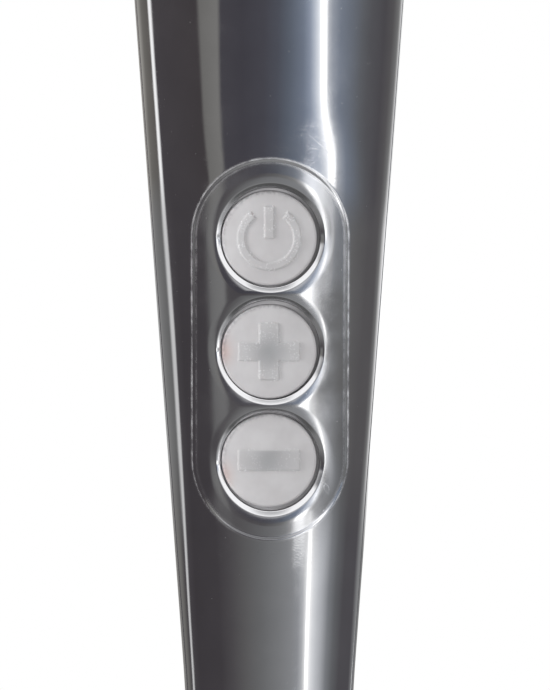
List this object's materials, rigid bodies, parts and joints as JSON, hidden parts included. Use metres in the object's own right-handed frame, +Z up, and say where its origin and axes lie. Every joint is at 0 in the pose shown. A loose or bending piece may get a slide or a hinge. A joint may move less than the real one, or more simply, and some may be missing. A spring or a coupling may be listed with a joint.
{
  "type": "handheld wand massager",
  "caption": "Handheld wand massager with a polished metal handle, a row of round silicone keys, a flexing ribbed neck and a soft vibrating head.",
  "frame": {"origin": "middle of the flat base that the wand stands on", "axes": "+Z runs up the wand from base to head, the keys face -Y, and +X is to the right seen from the keys"},
  "size_m": [0.06, 0.06, 0.35],
  "materials": {
    "polished_alloy": "die-cast alloy, mirror polished with fine hairlines",
    "key_silicone": "milky translucent silicone, satin",
    "black_silicone": "soft matte black silicone",
    "hard_plastic": "moulded dark grey plastic",
    "steel": "plain steel",
    "brass": "turned brass",
    "copper": "enamelled copper",
    "ferrite": "sintered, dull",
    "board_green": "glass-fibre board with solder mask",
    "rubber": "dense black rubber",
    "led_clear": "clear tinted resin",
    "wire_red": "red insulation",
    "wire_black": "black insulation"
  },
  "bodies": {
    "handle": {"front_shell": "polished_alloy", "rear_shell": "polished_alloy", "shell_screw_upper_left": "steel", "shell_screw_upper_right": "steel", "shell_screw_lower_left": "steel", "shell_screw_lower_right": "steel", "end_cap": "black_silicone", "power_inlet_body": "hard_plastic", "power_inlet_pin": "brass", "key_membrane": "key_silicone", "control_board": "board_green", "board_screw_upper": "steel", "board_screw_lower": "steel", "control_chip": "hard_plastic", "smoothing_capacitor": "steel", "switch_body_power": "hard_plastic", "switch_body_plus": "hard_plastic", "switch_body_minus": "hard_plastic", "led_power": "led_clear", "led_plus": "led_clear", "led_minus": "led_clear", "motor_can": "steel", "motor_end_bell": "hard_plastic", "motor_bush_lower": "brass", "motor_bush_upper": "brass", "magnet_left": "ferrite", "magnet_right": "ferrite", "brush_left": "ferrite", "brush_right": "ferrite", "motor_mount_lower": "rubber", "motor_mount_upper": "rubber", "neck_clamp_ring": "polished_alloy", "inlet_lead_red": "wire_red", "inlet_lead_black": "wire_black", "motor_lead_red": "wire_red", "motor_lead_black": "wire_black"},
    "neck": {"neck_sleeve": "black_silicone", "neck_spring": "steel"},
    "head": {"head_core_lower": "hard_plastic", "head_core_upper": "hard_plastic", "head_cap": "black_silicone", "head_bearing_lower": "steel", "head_bearing_upper": "steel"},
    "rotor": {"armature_stack": "steel", "armature_winding": "copper", "commutator": "copper", "motor_shaft": "steel", "coupling_hub_lower": "brass", "coupling_sleeve": "rubber"},
    "eccentric": {"head_shaft": "steel", "eccentric_weight": "steel", "coupling_hub_upper": "brass"},
    "key_power": {"key_power": "key_silicone"},
    "stem_power": {"switch_stem_power": "hard_plastic"},
    "key_plus": {"key_plus": "key_silicone"},
    "stem_plus": {"switch_stem_plus": "hard_plastic"},
    "key_minus": {"key_minus": "key_silicone"},
    "stem_minus": {"switch_stem_minus": "hard_plastic"}
  },
  "joints": [
    {"name": "neck_tilt_fore_aft", "type": "hinge", "parent": "handle", "child": "neck", "pos_m": [0, 0, 0.2735], "axis": [1, 0, 0], "range_deg": [-12, 12], "stiffness_Nm_per_rad": 5, "deforming": ["neck_sleeve", "neck_spring", "coupling_sleeve"]},
    {"name": "neck_tilt_sideways", "type": "hinge", "parent": "neck", "child": "head", "pos_m": [0, 0, 0.2735], "axis": [0, 1, 0], "range_deg": [-12, 12], "stiffness_Nm_per_rad": 5, "deforming": ["neck_sleeve", "neck_spring", "coupling_sleeve"]},
    {"name": "rotor_spin", "type": "hinge", "parent": "handle", "child": "rotor", "pos_m": [0, 0, 0.234], "axis": [0, 0, 1], "continuous": true},
    {"name": "eccentric_spin", "type": "hinge", "parent": "head", "child": "eccentric", "pos_m": [0, 0, 0.316], "axis": [0, 0, 1], "continuous": true},
    {"name": "key_power_press", "type": "slide", "parent": "handle", "child": "key_power", "axis": [0, 0.9973, 0.0735], "range_m": [0, 0.0008], "stiffness_N_per_m": 2500},
    {"name": "stem_power_press", "type": "slide", "parent": "handle", "child": "stem_power", "axis": [0, 0.9973, 0.0735], "range_m": [0, 0.00055]},
    {"name": "key_plus_press", "type": "slide", "parent": "handle", "child": "key_plus", "axis": [0, 0.9973, 0.0735], "range_m": [0, 0.0008], "stiffness_N_per_m": 2500},
    {"name": "stem_plus_press", "type": "slide", "parent": "handle", "child": "stem_plus", "axis": [0, 0.9973, 0.0735], "range_m": [0, 0.00055]},
    {"name": "key_minus_press", "type": "slide", "parent": "handle", "child": "key_minus", "axis": [0, 0.9973, 0.0735], "range_m": [0, 0.0008], "stiffness_N_per_m": 2500},
    {"name": "stem_minus_press", "type": "slide", "parent": "handle", "child": "stem_minus", "axis": [0, 0.9973, 0.0735], "range_m": [0, 0.00055]}
  ],
  "couplings": [
    {"joint": "rotor_spin", "follows": "eccentric_spin", "ratio": 1},
    {"joint": "stem_power_press", "follows": "key_power_press", "ratio": 0.65},
    {"joint": "stem_plus_press", "follows": "key_plus_press", "ratio": 0.65},
    {"joint": "stem_minus_press", "follows": "key_minus_press", "ratio": 0.65}
  ]
}
